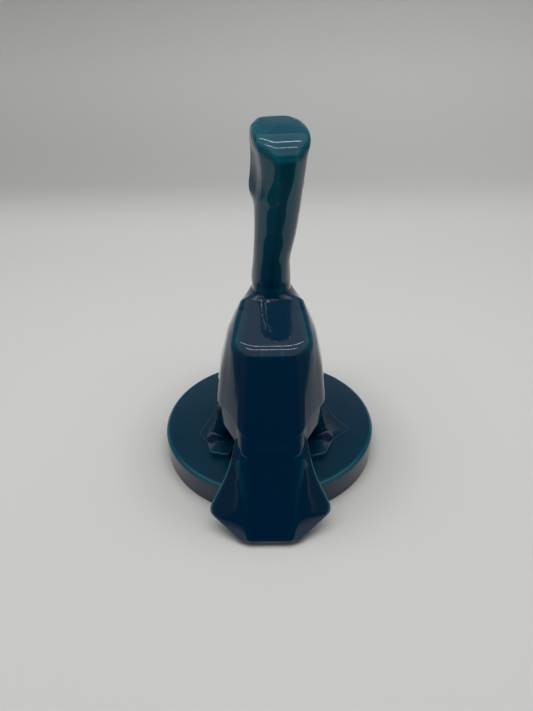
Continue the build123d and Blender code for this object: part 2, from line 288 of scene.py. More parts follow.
# The profile is carried round the Z axis: radius from the first value, height from the second.
disc_profile = divided(np.concatenate([
    arc((COLLAR_HOLE + COLLAR_ROUND, DECK - COLLAR_ROUND), COLLAR_ROUND, 180, 90, 5),
    arc((BASE_RADIUS - BASE_TOP_ROUND, DECK - BASE_TOP_ROUND), BASE_TOP_ROUND, 90, 0, 15),
    arc((BASE_RADIUS - BASE_FOOT_ROUND, BASE_FOOT_ROUND), BASE_FOOT_ROUND, 0, -90, 9),
    arc((BASE_RADIUS - BASE_WALL + RECESS_EDGE_ROUND, RECESS_EDGE_ROUND), RECESS_EDGE_ROUND, -90, -180, 5),
    arc((BASE_RADIUS - BASE_WALL - RECESS_ROUND, BASE_RECESS - RECESS_ROUND), RECESS_ROUND, 0, 90, 7),
    [(COLLAR_HOLE, BASE_RECESS)],
]), 1.5)
turn = np.linspace(0, 2 * np.pi, 384, endpoint=False)
disc = np.stack([
    disc_profile[:, None, 0] * np.cos(turn), disc_profile[:, None, 0] * np.sin(turn),
    np.broadcast_to(disc_profile[:, None, 1], (len(disc_profile), turn.size))], 2)
# The top edge was sponged by hand, so its height wanders a little.
from_axis = np.hypot(disc[..., 0], disc[..., 1])
worn = smooth_step(disc[..., 2], DECK - 3, DECK) * smooth_step(from_axis, BASE_RADIUS - 10, BASE_RADIUS - 1)
disc[..., 2] -= worn * SPONGED_DEPTH * (1 + np.sin(3 * turn + 0.6) * 0.6 + np.sin(7 * turn + 2.1) * 0.4)
disc_normals = grid_normals(disc, True, True)
# The normals point upwards on the deck.
disc_normals *= np.sign(disc_normals[disc[:, 0, 2].argmax(), 0, 2])
# The glaze is thin along the top edge, an even coat on the deck, and thicker down the wall.
disc_thin = np.clip(glaze_thinness(disc, disc_normals, True, True) * 2.2, 0.24, 0.5)
disc_thin = np.where(disc[..., 2] < DECK - 1.8, 0.02, disc_thin)
# The foot and the whole of the recess are bare.
outside = from_axis > BASE_RADIUS - 3
underneath = disc[..., 2] < BASE_RECESS + 0.1
disc_bare = np.where(outside, 1 - smooth_step(disc[..., 2], BARE_CLAY * 0.5, BARE_CLAY), underneath)
glazed_piece(
    "base_disc_glazed", disc.reshape(-1, 3),
    grid_faces(len(disc_profile), turn.size, True, True), disc_normals.reshape(-1, 3),
    disc_thin.ravel(), ["base_disc"], disc_bare.ravel())

# ---------------------------------------------------------------------------------- feet
# Webbed feet pressed out of thin clay and laid flat on the base: low at the webs, with a thick
# rounded edge at the heels. Each was shaped by hand, so the two differ.
LEG_SPREAD = 63.0
LEG_SETBACK = 21.0
# The whole figure leans: each point is moved across by this share of its height.
LEAN = 0.025
# Corners of each outline from the ankle, as (outwards, back): the front toe and the web's edge, the
# outer toe, the heel, and the inner side.
FOOT_TABLES = {
    "right": [(7, -38), (13, -20), (22, -7),
             (9.5, 4), (3.5, 19), (-6.5, 22.5), (-11, 4), (-12, -18), (-2, -25)],
    "left": [(6, -36), (10, -19), (15.6, -4),
             (9, 6), (6, 17.4), (-5.7, 20.4), (-11, 4), (-12, -18), (-2, -25)],
}
EDGE_HEIGHTS = (0.5, 0.45, 0.5, 1.2, 4.0, 4.0, 2.6, 0.9, 0.5)
EDGE_ROUND = 0.9
CORNER_ROUND = 4.5
INSTEP = 5.0
FOOT_GLAZE = 0.22


def rounded(corners, knots, place, window):
    """Points on a run of straight lines through the corners, with each corner rounded: the average
    of the run over a window centred on the place, from the difference of its running total."""
    steps = np.diff(knots)[:, None]
    total = np.cumsum((corners[..., 1:, :] + corners[..., :-1, :]) / 2 * steps, -2)
    total = np.concatenate([np.zeros_like(total[..., :1, :]), total], -2)

    def total_at(at):
        """The running total, up to a place between two knots."""
        i = np.clip(np.searchsorted(knots, at, "right") - 1, 0, len(knots) - 2)
        past = (at - knots[i])[..., None, None]
        span = (knots[i + 1] - knots[i])[..., None, None]
        here = i[..., None, None]
        a = np.take_along_axis(corners, here, -2)
        b = np.take_along_axis(corners, here + 1, -2)
        before = np.take_along_axis(total, here, -2)
        return (before + a * past + (b - a) * past ** 2 / (2 * span))[..., 0, :]

    reach = np.maximum(window, 1e-3) / 2
    return (total_at(place + reach) - total_at(place - reach)) / (2 * reach[..., None])


def foot(side_name, side):
    """A closed cap over a rounded outline. Its rows run from the instep out to the edge along
    straight rays, falling from the instep's height to the edge's, then over and down."""
    ankle = np.array([side * LEG_SPREAD / 2 - LEAN * DECK, LEG_SETBACK])
    table = np.array(FOOT_TABLES[side_name], float)
    corners = np.column_stack([table, EDGE_HEIGHTS])
    gaps = np.linalg.norm(np.diff(np.concatenate([table, table[:1]]), axis=0), axis=1)
    knots = np.concatenate([[0], np.cumsum(gaps)])
    around = np.concatenate([corners[-3:], corners, corners[:3]])
    long_knots = np.concatenate([knots[-4:-1] - knots[-1], knots[:-1], knots[:3] + knots[-1]])
    places = np.linspace(0, knots[-1], 320, endpoint=False)
    rim = rounded(around[None], long_knots, places, np.full(places.shape, CORNER_ROUND))
    out = rim[:, :2]
    height = rim[:, 2]
    share = np.concatenate([np.linspace(0.02, 0.9, 34), np.linspace(0.91, 0.965, 5)])[:, None]
    dome = height + (INSTEP - height) * (1 - share) ** 2.4
    angle = np.linspace(0, np.pi / 2, 8)[1:, None]
    turned_down = height - np.minimum(height, EDGE_ROUND) * (1 - np.cos(angle))
    shares = np.concatenate([share, 1 - 0.03 * (1 - np.sin(angle)), [[1.0]]])
    heights = np.concatenate([dome, turned_down, np.full((1, len(height)), -0.3)])
    points = np.stack([
        out[:, 0] * shares * side + ankle[0], out[:, 1] * shares + ankle[1], heights + DECK], 2)
    normals = grid_normals(points, False, True)
    # The normals point upwards over the top of the foot.
    normals *= np.sign(normals[10, :, 2].mean())
    thin = glaze_thinness(points, normals, False, True) * 0.35 + FOOT_GLAZE
    rows, columns = points.shape[:2]
    glazed_piece(
        side_name + "_webbed_foot", points.reshape(-1, 3), grid_faces(rows, columns, False, True),
        normals.reshape(-1, 3), thin.ravel(), [side_name + "_foot"],
        caps=end_caps(rows, columns))


for side_name, side in (("left", 1), ("right", -1)):
    foot(side_name, side)

# ---------------------------------------------------------------------------------- legs
# Short stout legs of solid clay, narrow at the ankle and as thick as a thigh at the top. They are
# luted between the feet and the flanks, with the slip smoothed out at each end.
LEG_RINGS = [
    # height above the deck, radius, share of the lean under the flank
    (2.2, 9.6, 0.0), (4.6, 7.2, 0.02), (7.0, 6.0, 0.08),
    (12.0, 6.2, 0.3), (20.0, 8.4, 0.75), (27.0, 10.0, 1.0)]
THIGH_LEAN = 9.0
LEG_ROWS = 60
LEG_COLUMNS = 96


def leg(side_name, side):
    """Circles stacked up a leaning line, their radii and places eased between a few heights."""
    table = np.array(LEG_RINGS)
    height = np.linspace(table[0, 0], table[-1, 0], LEG_ROWS)
    from_end = np.minimum(height - table[0, 0], table[-1, 0] - height)
    radius = rounded(table[None, :, 1:2], table[:, 0], height, np.minimum(3.0, 2 * from_end))[:, 0]
    lean = rounded(table[None, :, 2:3], table[:, 0], height, np.minimum(5.0, 2 * from_end))[:, 0]
    angle = np.linspace(0, 2 * np.pi, LEG_COLUMNS, endpoint=False)[None, :]
    centre = side * LEG_SPREAD / 2 - LEAN * DECK - side * THIGH_LEAN * lean
    points = np.stack([
        centre[:, None] + radius[:, None] * np.cos(angle),
        LEG_SETBACK + radius[:, None] * np.sin(angle),
        np.broadcast_to((DECK + height)[:, None], (LEG_ROWS, LEG_COLUMNS))], 2)
    normals = grid_normals(points, False, True)
    # The normals point away from the middle of the leg.
    halfway = points[LEG_ROWS // 2]
    normals *= np.sign((normals[LEG_ROWS // 2] * (halfway - halfway.mean(0))).sum())
    thin = glaze_thinness(points, normals, False, True)
    glazed_piece(
        side_name + "_short_leg", points.reshape(-1, 3),
        grid_faces(LEG_ROWS, LEG_COLUMNS, False, True), normals.reshape(-1, 3), thin.ravel(),
        [side_name + "_leg"], caps=end_caps(LEG_ROWS, LEG_COLUMNS))


for side_name, side in (("left", 1), ("right", -1)):
    leg(side_name, side)

# ---------------------------------------------------------------------------------- body
# A hollow slip casting with broad flat facets, softened where the mould's edges were sponged. Its
# flanks are hidden under the wings: what shows is the flat of the back, the breast and the belly.


def ring(back, front, sway, turned, halves):
    """The twelve corners of one cross-section. back and front are its (y, z) ends, and halves lists
    (half breadth, share of the way from back to front, lift out of the plane) for one side."""
    halves = [tuple(h) + (0.0,) * (3 - len(h)) for h in halves]
    x, share, lift = np.array(halves + [(-h[0], h[1], h[2]) for h in halves[::-1]], float).T
    middle = (back[0] + front[0]) / 2
    y = back[0] + (front[0] - back[0]) * share - middle
    z = back[1] + (front[1] - back[1]) * share + lift
    angle = np.radians(turned)
    across = x * np.cos(angle) - y * np.sin(angle) + sway - LEAN * z
    return np.stack([across, middle + x * np.sin(angle) + y * np.cos(angle), z], 1)


def drawn_in(corners, amounts):
    """A ring with its flank corners moved inwards, across the body."""
    inward = np.array(list(amounts) + list(amounts[::-1])) * -np.sign(corners[:, 0] + LEAN * corners[:, 2])
    moved = corners.copy()
    moved[:, 0] += inward
    return moved


# From the shoulders to the crown the skin is one surface, and the pieces share it.
BACK_RINGS = [
    ring((70.4, 44), (-45, 44), 0, 0,
         [(17, 0), (22.4, .08), (30.8, .23), (33.2, .47), (27, .85), (9, 1)]),
    ring((67.7, 49), (-46, 49), 0, 0,
         [(17, 0), (22.7, .083), (31, .225), (33.2, .46), (27, .85), (9, 1)]),
    ring((61.7, 60), (-48, 60), 0, 0,
         [(16.8, 0), (23.8, .093), (31.8, .215), (33.2, .43), (25, .86), (8, 1)]),
    ring((52, 77.5), (-46, 78), 0, 0,
         [(15.3, 0), (22.4, .085), (29.6, .21), (30.6, .42), (22.5, .85), (7.5, 1)]),
    ring((41, 96.5), (-41, 88), 0, 0,
         [(12, -.003), (21.8, .068, 2.4), (26, .19), (26.6, .42), (19, .85), (7, 1)]),
    ring((22, 104.7), (-36, 95), 0, 0,
         [(10.5, 0, -.3), (20.2, .07, 1.4), (22.6, .22, -1), (22.8, .44, -2), (14, .85), (6.5, 1)]),
]
SHOULDER_RINGS = [
    ring((6.5, 111.2), (-33, 101), 0, 0,
         [(9, 0, -.3), (17.6, .03, .2), (19.6, .2, -3.4), (19, .42, -4.2), (12, .85, -1), (6, 1)]),
    ring((5.2, 113), (-30, 110.8), 0.3, 0,
         [(7, 0), (9.8, .12), (11.2, .28), (11.8, .5), (11, .85), (6.4, 1)]),
    ring((2.8, 118), (-27, 118), 0.7, 0,
         [(6.2, 0), (8.9, .13), (10.9, .3), (12.2, .5), (10.8, .85), (6, 1)]),
]
NECK_RINGS = [
    ring((2, 130), (-24, 130), 0.5, 1,
         [(5.8, 0), (8.5, .12), (10.4, .3), (11.1, .52), (9.8, .85), (5.5, 1)]),
    ring((3, 146), (-21, 147), -1.4, 3,
         [(5.5, 0), (9, .1), (11.4, .28), (12.3, .5), (10.4, .85), (5.5, 1)]),
    ring((5.5, 163), (-19, 164), -2.5, 6,
         [(5.5, 0), (9.6, .12), (12, .28), (13.1, .5), (13.2, .8), (5.5, 1)]),
    ring((6.5, 168), (-20, 168), -2.6, 8,
         [(5.7, 0), (10.2, .13), (12.2, .28), (13.2, .46), (15.4, .76), (5.5, 1)]),
]
HEAD_RINGS = [
    ring((7.5, 173), (-26, 172), -2.8, 9,
         [(5.9, 0), (10.8, .14), (12, .27), (12.8, .44), (16.6, .72), (6, 1)]),
    ring((9.3, 181), (-29, 181), -2.8, 11,
         [(6.1, 0), (11.6, .16), (12.2, .28), (12.5, .42), (15, .68), (6.5, 1)]),
    ring((11.3, 189.4), (-28, 193), -2.4, 12,
         [(6.3, 0), (12.4, .16), (13.2, .28), (13.5, .42), (14.2, .68), (7, 1)]),
    ring((9.8, 194), (-27.6, 199), -2.3, 12,
         [(7.6, 0), (13.6, .13), (14.8, .26), (15.2, .42), (14.6, .68), (8, 1)]),
    ring((5.4, 198.3), (-26.8, 203.8), -2.2, 12,
         [(9.8, 0), (14, .1), (15.2, .24), (15.5, .42), (14.6, .68), (9, 1)]),
    ring((.5, 201), (-24.6, 206), -2.2, 12,
         [(10.6, 0), (12.2, .1), (13.4, .24), (13.6, .42), (12.8, .68), (8, 1)]),
    ring((-6, 203), (-13, 204.3), -2.4, 12,
         [(3.6, 0), (4.2, .1), (4.8, .24), (5, .42), (4.8, .68), (3, 1)]),
    ring((-8.4, 203.5), (-9, 203.6), -2.4, 12,
         [(.2, 0), (.3, .12), (.4, .2), (.5, .4), (.4, .7), (.2, 1)]),
]
BELLY_RINGS = [
    ring((26, 17.5), (-24, 17.5), 0, 0,
         [(8, 0), (15, .08), (20, .25), (22, .5), (18, .85), (8, 1)]),
    ring((47, 27), (-38, 27), 0, 0, [(10, 0), (19, .06), (26.5, .2), (29, .5), (24, .85), (10, 1)]),
    ring((54, 36), (-42.5, 36), 0, 0,
         [(13, 0), (20.5, .055), (27.5, .2), (30.5, .46), (26, .85), (9.3, 1)]),
    ring((59, 44), (-45, 44), 0, 0,
         [(14, 0), (21, .055), (27.6, .2), (30, .46), (26.4, .85), (9, 1)]),
]
# How far the casting is drawn in under the wings at each corner, from the back to the breast.
UNDER_WING = (0, 2.4, 3.4, 3.4, 1.6, 0)
LUTING = 0.4
SKIN = np.array(BACK_RINGS + SHOULDER_RINGS + NECK_RINGS + HEAD_RINGS)
CORE = np.array(
    BELLY_RINGS
    + [drawn_in(corners, np.array(UNDER_WING) * share)
       for corners, share in zip(BACK_RINGS[1:], (1, 1, 1, .8, .5))]
    + SHOULDER_RINGS + NECK_RINGS)
# Rounding windows, one for each ring: along the skin, along it again at the back of the crown, along
# the core, and across the facets.
SKIN_ROUND = np.array([2, 4, 4, 4, 7, 4, 2, 2, 5, 8, 8, 6, 6, 7, 9, 2.5, 6, 6, 6, 7, 6], float)
CROWN_ROUND = np.array([0] * 16 + [3, 4, 4, 2, 0], float)
CORE_ROUND = np.array([6, 8, 6, 2, 2, 4, 4, 7, 4, 2, 2, 5, 8, 8, 6, 5], float)
SOFT_FACETS = np.array(
    [9, 9, 9, 9, 10, 14, 14, 16, 22, 24, 23, 19, 16, 13, 11, 10, 10, 10, 11, 13, 13], float)


def knots_of(cage, closed):
    """How far apart a cage's rings are on average, or when closed the corners round them, added up
    from the first."""
    if closed:
        gaps = np.linalg.norm(np.roll(cage, -1, 1) - cage, axis=2).mean(0)
    else:
        gaps = np.linalg.norm(np.diff(cage, axis=0), axis=2).mean(1)
    return np.concatenate([[0], np.cumsum(gaps)])


# Round the crown the extra rounding keeps to the back, fading between these distances from its middle.
BACK_EDGE = (12, 30)


class Cage:
    """A surface over rings of corners: along v it passes from ring to ring and along u round them,
    both in millimetres of average spacing, with corners rounded over a window."""

    def __init__(self, rings, round_along, round_across, u_knots, round_back=0.0):
        self.rings = rings
        self.v_knots = knots_of(rings, False)
        self.u_knots = u_knots
        self.round_along = round_along
        self.round_across = round_across
        self.round_back = np.broadcast_to(round_back, len(rings))

    def point(self, u, v):
        """Corners rounded first along v, from ring to ring, and then along u, round the ring."""
        ends = np.minimum(v - self.v_knots[0], self.v_knots[-1] - v)
        length = self.u_knots[-1]
        from_back = np.abs(np.mod(u - self.u_knots[-2] / 2, length) - length / 2)
        at_back = 1 - smooth_step(from_back, *BACK_EDGE)
        window = np.interp(v, self.v_knots, self.round_along)
        window = window + np.interp(v, self.v_knots, self.round_back) * at_back
        window = np.minimum(window, 2 * np.maximum(ends, 0))
        flat = self.rings.reshape(1, 1, len(self.rings), -1)
        corners = rounded(flat, self.v_knots, v, window).reshape(u.shape + (-1, 3))
        around = np.concatenate([corners[..., -3:, :], corners, corners[..., :3, :]], -2)
        u = np.mod(u + self.u_knots[1], length) - self.u_knots[1]
        knots = np.concatenate([self.u_knots[-4:-1] - length, self.u_knots[:-1], self.u_knots[:3] + length])
        return rounded(around, knots, u, np.interp(v, self.v_knots, self.round_across))

    def normal(self, u, v):
        """The cross product of the directions to points a little way off along v and u."""
        step = 0.05
        low, high = self.v_knots[0], self.v_knots[-1]
        v = np.clip(v, low + step, high - step)
        across = self.point(u + step, v) - self.point(u - step, v)
        along = self.point(u, v + step) - self.point(u, v - step)
        normals = np.cross(along, across)
        return normals / np.maximum(np.linalg.norm(normals, axis=2, keepdims=True), 1e-9)

    def v_at_height(self, z):
        """The v at which the third corner of the rings is at height z."""
        return np.interp(z, self.rings[:, 2, 2], self.v_knots)


# u runs from the first back corner, round the bird's left flank, breast and right flank, to the
# middle of the back, which is half a facet past the last corner.
around_knots = knots_of(SKIN[:7], True)
skin = Cage(SKIN, SKIN_ROUND, SOFT_FACETS, around_knots, CROWN_ROUND)
core = Cage(CORE, CORE_ROUND, np.concatenate([[9] * 4, SOFT_FACETS[1:13]]), around_knots)
U_WIDEST = around_knots[3]
U_LENGTH = around_knots[-1]
U_BACK_HALF = (U_LENGTH - around_knots[-2]) / 2
U_SEAM = -U_BACK_HALF * 0.5
U_LEADING = around_knots[4] + 5.0
U_MIRROR = -2 * U_BACK_HALF


def spaced(low, high, step, *dense):
    """Places from low to high in even steps, with extra places close either side of some."""
    places = np.linspace(low, high, int(round((high - low) / step)) + 1)
    extra = [at + offset for at in dense for offset in (-0.06, 0.0, 0.06)]
    return np.unique(np.round(np.concatenate([places, extra]), 4))


def mirrored(u):
    """The place on the bird's right that matches a place on its left."""
    return U_MIRROR - u


def covered(u):
    """1 where a wing lies over the body, 0 on the flat of the back and on the breast."""
    def under_wing(u):
        """The same, for the wing on the bird's left."""
        return smooth_step(u, U_SEAM, U_SEAM + 0.06) * (
            1 - smooth_step(u, U_LEADING - 1.5, U_LEADING - 1.4))
    other = np.mod(mirrored(u) + U_BACK_HALF, U_LENGTH) - U_BACK_HALF
    return np.maximum(under_wing(u), under_wing(other))


def skin_place(core_v):
    """The skin's v at the same ring as a v of the core, which has three more rings below."""
    return np.interp(core_v, core.v_knots[3:], skin.v_knots[:len(core.v_knots) - 3])


WING_TOP_CORE_V = core.v_knots[8] + 3.5
WING_TOP_V = skin_place(WING_TOP_CORE_V + 1.0)
BODY_TOP_V = core.v_at_height(118.0)
TAIL_TOP_V = core.v_knots[4]
body_u = spaced(-U_BACK_HALF, U_LENGTH - U_BACK_HALF, 0.8, U_SEAM, U_LEADING - 1.45,
                U_LENGTH + U_MIRROR - U_SEAM, U_LENGTH + U_MIRROR - U_LEADING + 1.45)[:-1]
body_v = spaced(0, BODY_TOP_V, 0.8, WING_TOP_CORE_V)
u, v = np.meshgrid(body_u, body_v)
skin_v = skin_place(v)
wing_top = 1 - smooth_step(v, WING_TOP_CORE_V - 0.06, WING_TOP_CORE_V)
above_belly = smooth_step(v, TAIL_TOP_V - 0.06, TAIL_TOP_V)
hidden_under_wing = covered(u) * wing_top * above_belly
open_skin = (np.maximum(1 - covered(u), 1 - wing_top) * above_belly)[..., None]
body_normals = core.normal(u, v) * (1 - open_skin) + skin.normal(u, skin_v) * open_skin
body = core.point(u, v) * (1 - open_skin) + skin.point(u, skin_v) * open_skin
body_thin = glaze_thinness(body, body_normals, False, True) * (1 - hidden_under_wing)
# The glaze runs level over the seams with the tail and with the tops of the wings.
off_seams = smooth_step(v, TAIL_TOP_V - 1.5, TAIL_TOP_V + 1.5) * (np.abs(v - WING_TOP_CORE_V) > 2.5)
body_thin = FLAT + (body_thin - FLAT) * off_seams
# Where the tail's root and the wings lie over it the casting is a little lower.
under_tail = (np.abs(u) < U_BACK_HALF * 2.2) * (1 - smooth_step(v, TAIL_TOP_V - 0.5, TAIL_TOP_V))
body = body - body_normals * (LUTING * np.maximum(hidden_under_wing, under_tail))[..., None]
columns = len(body_u)
rows = len(body_v)
glazed_piece(
    "body_casting", body.reshape(-1, 3), grid_faces(rows, columns, False, True),
    body_normals.reshape(-1, 3), body_thin.ravel(), ["body"],
    caps=end_caps(rows, columns))

# ---------------------------------------------------------------------------------- tail
# A solid press-moulded fan, flush with the flat of the back where it starts and spreading to two
# thin corners just above the table. Its middle facet is flat and its side facets slope away.
TAIL_START = (65.0, 54.0)
# Directions, as (y, z), down the tail and out of its middle facet.
TAIL_RUN = np.array([0.4797, -0.8774])
TAIL_OUT = np.array([0.8774, 0.4797])
TAIL_TABLE = [
    # distance down the tail, then (half breadth, depth below the middle facet) round one side
    (-10, [(9, .9), (16, 5.0), (18, 8.0), (17, 10.5), (13, 12)]),
    (-1, [(9, .3), (17, 4.0), (20, 7.2), (19, 9.6), (14, 11.5)]),
    (3.6, [(9, .15), (17.6, 3.2), (21, 6.4), (20, 9.2), (15, 11)]),
    (4.6, [(11, .0), (17.6, 2.4), (21.2, 6.0), (20.2, 9.0), (15, 10.8)]),
    (12, [(13, .0), (18.4, .9), (22.8, 4.9), (21.6, 8.3), (15, 10)]),
    (20, [(11, .0), (16.8, .1), (25.6, 5.4), (24.2, 8.8), (14, 9.6)]),
    (28, [(10.5, .0), (15.4, .0), (29.2, 6.6), (27.8, 9.8), (13, 9.4)]),
    (39.4, [(10, .0), (13.8, .0), (35, 8.5), (33.6, 11.3), (11.5, 9)]),
    (43.6, [(10, .0), (13.5, .0), (35, 8.4), (33.6, 11.1), (11, 8.6)]),
    (57.8, [(9, .0), (12.4, .0), (16.2, 1.6), (15.6, 4.4), (10, 5.2)]),
    (57.8, [(.2, 2.6), (.3, 2.6), (.5, 2.7), (.4, 2.8), (.2, 2.8)]),
]


def tail_ring(distance, side):
    """Ten corners round the tail, across the line that it runs down."""
    half = np.array([s[0] for s in side] + [-s[0] for s in side[::-1]], float)
    depth = np.array([s[1] for s in side] + [s[1] for s in side[::-1]], float)
    line = np.array(TAIL_START) + TAIL_RUN * distance
    y = line[0] - TAIL_OUT[0] * depth
    z = line[1] - TAIL_OUT[1] * depth
    return np.stack([half - LEAN * z, y, z], 1)


TAIL_CAGE = np.array([tail_ring(distance, side) for distance, side in TAIL_TABLE])
TAIL_ROUND = np.array([2, 4, .8, .8, 5, 8, 8, 3.5, 3.5, 4.6, 1], float)
TAIL_FACET_ROUND = 3.2
tail_knots = knots_of(TAIL_CAGE[1:9], True)
tail_cage = Cage(TAIL_CAGE, TAIL_ROUND, np.full(len(TAIL_CAGE), TAIL_FACET_ROUND), tail_knots)
tail_length = tail_cage.v_knots[-1]
tail_half_back = (tail_knots[-1] - tail_knots[-2]) / 2
tail_v = spaced(tail_cage.v_knots[1] - 2.2, tail_length - 0.02, 0.6)
tail_u = spaced(-tail_half_back, tail_knots[-1] - tail_half_back, 0.6)[:-1]
u, v = np.meshgrid(tail_u, tail_v)
tail = tail_cage.point(u, v)
# Where it leaves the body it takes the flat's own slope, so that no step shows.
tail_normals = -tail_cage.normal(u, np.maximum(v, tail_cage.v_knots[3] + 3))
tail_thin = glaze_thinness(tail, tail_normals, False, True)
# The glaze is level over the seam and a little thinner on the side facets.
tail_thin = np.where(v > tail_cage.v_knots[4] - 1.0, tail_thin, FLAT)
tail_thin = tail_thin + 0.18 * smooth_step(np.abs(tail[..., 0] + LEAN * tail[..., 2]), 11, 15)
columns = len(tail_u)
rows = len(tail_v)
glazed_piece(
    "tail_fan", tail.reshape(-1, 3), grid_faces(rows, columns, False, True),
    tail_normals.reshape(-1, 3), tail_thin.ravel(), ["tail"],
    caps=end_caps(rows, columns))

# ---------------------------------------------------------------------------------- wings
# Each folded wing is two press-moulded plates luted to the flank. The upper one laps over the
# flight feathers, which lap over the root of the tail, and both fade into the flat of the back.
UPPER_STEP = 1.7
LOWER_STEP = 2.1
WING_FADE = -2.5
FLIGHT_FADE = -6.5
FADE_LENGTH = 11.0
LIP_ROUND = 0.7
WING_EDGE_Z = 60.0
WING_DIP = 6.5
WING_SWEEP = 13.0
FLIGHT_EDGE_Z = 49.0
FLIGHT_DIP = 5.0
FLIGHT_SWEEP = 10.0
FLIGHT_TOP_Z = 68.0
PLATE_DEPTH = 2.6
PLATE_ROWS = 70


def standing(u, start):
    """How far a wing stands out, from 0 at the flat of the back to 1 on the flank."""
    return smooth_step(u, start, start + FADE_LENGTH)


def edge_v(u, height, dip, sweep):
    """Where a tier's lower edge runs: level on the flank, dipping in a straight line towards the
    middle of the back and sweeping up towards the breast."""
    level = skin.v_at_height(height)
    down = dip * np.clip((10.0 - u) / (10.0 - U_SEAM), 0, 1)
    up = sweep * smooth_step(u, U_WIDEST, U_LEADING) ** 1.5
    return level - down + up


def lip(edge, offset, buried, radius):
    """Rows that roll over a plate's edge: v moves out to the edge as the surface turns under by a
    quarter circle, then straight in until it is buried."""
    angle = np.linspace(0, np.pi / 2, 7)[:, None]
    rows_v = edge + radius * (1 - np.sin(angle))
    rows_in = offset + radius * (1 - np.cos(angle))
    return (np.concatenate([rows_v, edge[None, :]]),
            np.concatenate([rows_in, (offset + radius + buried)[None, :]]))


def plate(name, node, side, edge, inset, buried, top, fade, cover=None):
    """A wing plate: the skin, set in by inset, from its rolled lower edge up to top, closed by a
    copy set further in. The leading edge rolls over in the same way."""
    plate_u = spaced(U_SEAM, U_LEADING - LIP_ROUND, 0.7)
    roll = np.linspace(0, np.pi / 2, 7)[1:]
    lead_u = U_LEADING - LIP_ROUND * (1 - np.sin(roll))
    lead_in = LIP_ROUND * (1 - np.cos(roll))
    u_line = np.concatenate([plate_u, lead_u, [U_LEADING]])
    in_line = np.concatenate([np.zeros(len(plate_u)), lead_in, [LIP_ROUND + 2.5]])
    # Rows from the lower edge up to the top, set in along the leading edge and under the cover.
    edge_line = edge(u_line)
    share = np.linspace(0, 1, PLATE_ROWS)[:, None]
    radius = LIP_ROUND * standing(u_line, fade) + 0.02
    start = edge_line + radius
    body_rows = start + (top - start) * share
    inset_line = inset(u_line)
    roll_v, roll_in = lip(edge_line, inset_line, buried(u_line), radius)
    v = np.concatenate([roll_v[::-1], body_rows[1:]])
    sink = np.concatenate([roll_in[::-1], np.broadcast_to(inset_line, body_rows[1:].shape)])
    sink = sink + in_line[None, :]
    if cover is not None:
        sink = sink + 0.6 * smooth_step(v, cover(u_line) + 0.1, cover(u_line) + 0.9)
    u = np.broadcast_to(u_line, v.shape)
    place = u if side > 0 else mirrored(u)
    base = skin.normal(place, v)
    outer = skin.point(place, v) - base * sink[..., None]
    normals = grid_normals(outer)
    normals *= np.sign((normals * base).sum(2, keepdims=True))
    # Where the plate is not set in, it keeps the skin's own normals.
    flush = (sink < 1e-6) | (np.arange(v.shape[1]) == 0)[None, :]
    normals = np.where(flush[..., None], base, normals)
    inner = skin.point(place, v) - base * (PLATE_DEPTH + sink)[..., None]
    rows, columns = v.shape
    count = rows * columns
    faces = [grid_faces(rows, columns, False, False),
             grid_faces(rows, columns, False, False, count)[:, ::-1]]
    numbers = np.arange(count).reshape(rows, columns)
    border = np.concatenate([numbers[0], numbers[1:, -1], numbers[-1, -2::-1], numbers[-2:0:-1, 0]])
    following = np.roll(border, -1)
    faces.append(np.stack([following, border, border + count, following + count], 1))
    # The pale line along the edge fades out with the lip, and the flank's coat is thinner.
    thin = glaze_thinness(outer, normals)
    thin = FLAT + (thin - FLAT) * np.minimum(2.2 * standing(u_line, fade), 1)
    thin = thin + 0.14 * standing(u_line, 2.0)
    glazed_piece(
        name, np.concatenate([outer.reshape(-1, 3), inner.reshape(-1, 3)]), np.concatenate(faces),
        np.concatenate([normals.reshape(-1, 3), -normals.reshape(-1, 3)]),
        np.concatenate([thin.ravel(), thin.ravel()]), [node])


def wing_edge(u):
    """The lower edge of the upper tier."""
    return edge_v(u, WING_EDGE_Z, WING_DIP, WING_SWEEP)


def flight_edge(u):
    """The lower edge of the flight feathers."""
    return edge_v(u, FLIGHT_EDGE_Z, FLIGHT_DIP, FLIGHT_SWEEP)


def wing_step(u):
    """How far the upper tier stands above the flight feathers."""
    return UPPER_STEP * standing(u, WING_FADE)


def flight_step(u):
    """How far the flight feathers stand above the body."""
    return LOWER_STEP * standing(u, FLIGHT_FADE)


for side_name, side in (("left", 1), ("right", -1)):
    plate(side_name + "_flight_plate", side_name + "_flight_feathers", side, flight_edge, wing_step,
          lambda u: flight_step(u) + 0.6, skin.v_at_height(FLIGHT_TOP_Z), FLIGHT_FADE, wing_edge)
    plate(side_name + "_upper_plate", side_name + "_upper_wing", side, wing_edge, np.zeros_like,
          lambda u: wing_step(u) + 0.3, WING_TOP_V, WING_FADE)

# ---------------------------------------------------------------------------------- neck
# A hollow slip casting with an air passage through it, luted to the shoulders. Its facets soften
# and twist as it rises, because the head is turned to one side.
NECK_TOP_V = skin.v_at_height(168.0)
NECK_FOOT_V = skin.v_at_height(118.0)


def skin_tube(name, node, low, high):
    """A closed length of the skin from one v to another, capped inside the pieces it meets."""
    tube_u = spaced(-U_BACK_HALF, U_LENGTH - U_BACK_HALF, 1.0)[:-1]
    tube_v = spaced(low, high, 0.5)
    u, v = np.meshgrid(tube_u, tube_v)
    points = skin.point(u, v)
    normals = skin.normal(u, v)
    thin = glaze_thinness(points, normals, False, True)
    rows, columns = u.shape
    glazed_piece(
        name, points.reshape(-1, 3), grid_faces(rows, columns, False, True),
        normals.reshape(-1, 3), thin.ravel(), [node], caps=end_caps(rows, columns))


skin_tube("neck_casting", "neck", NECK_FOOT_V, NECK_TOP_V)

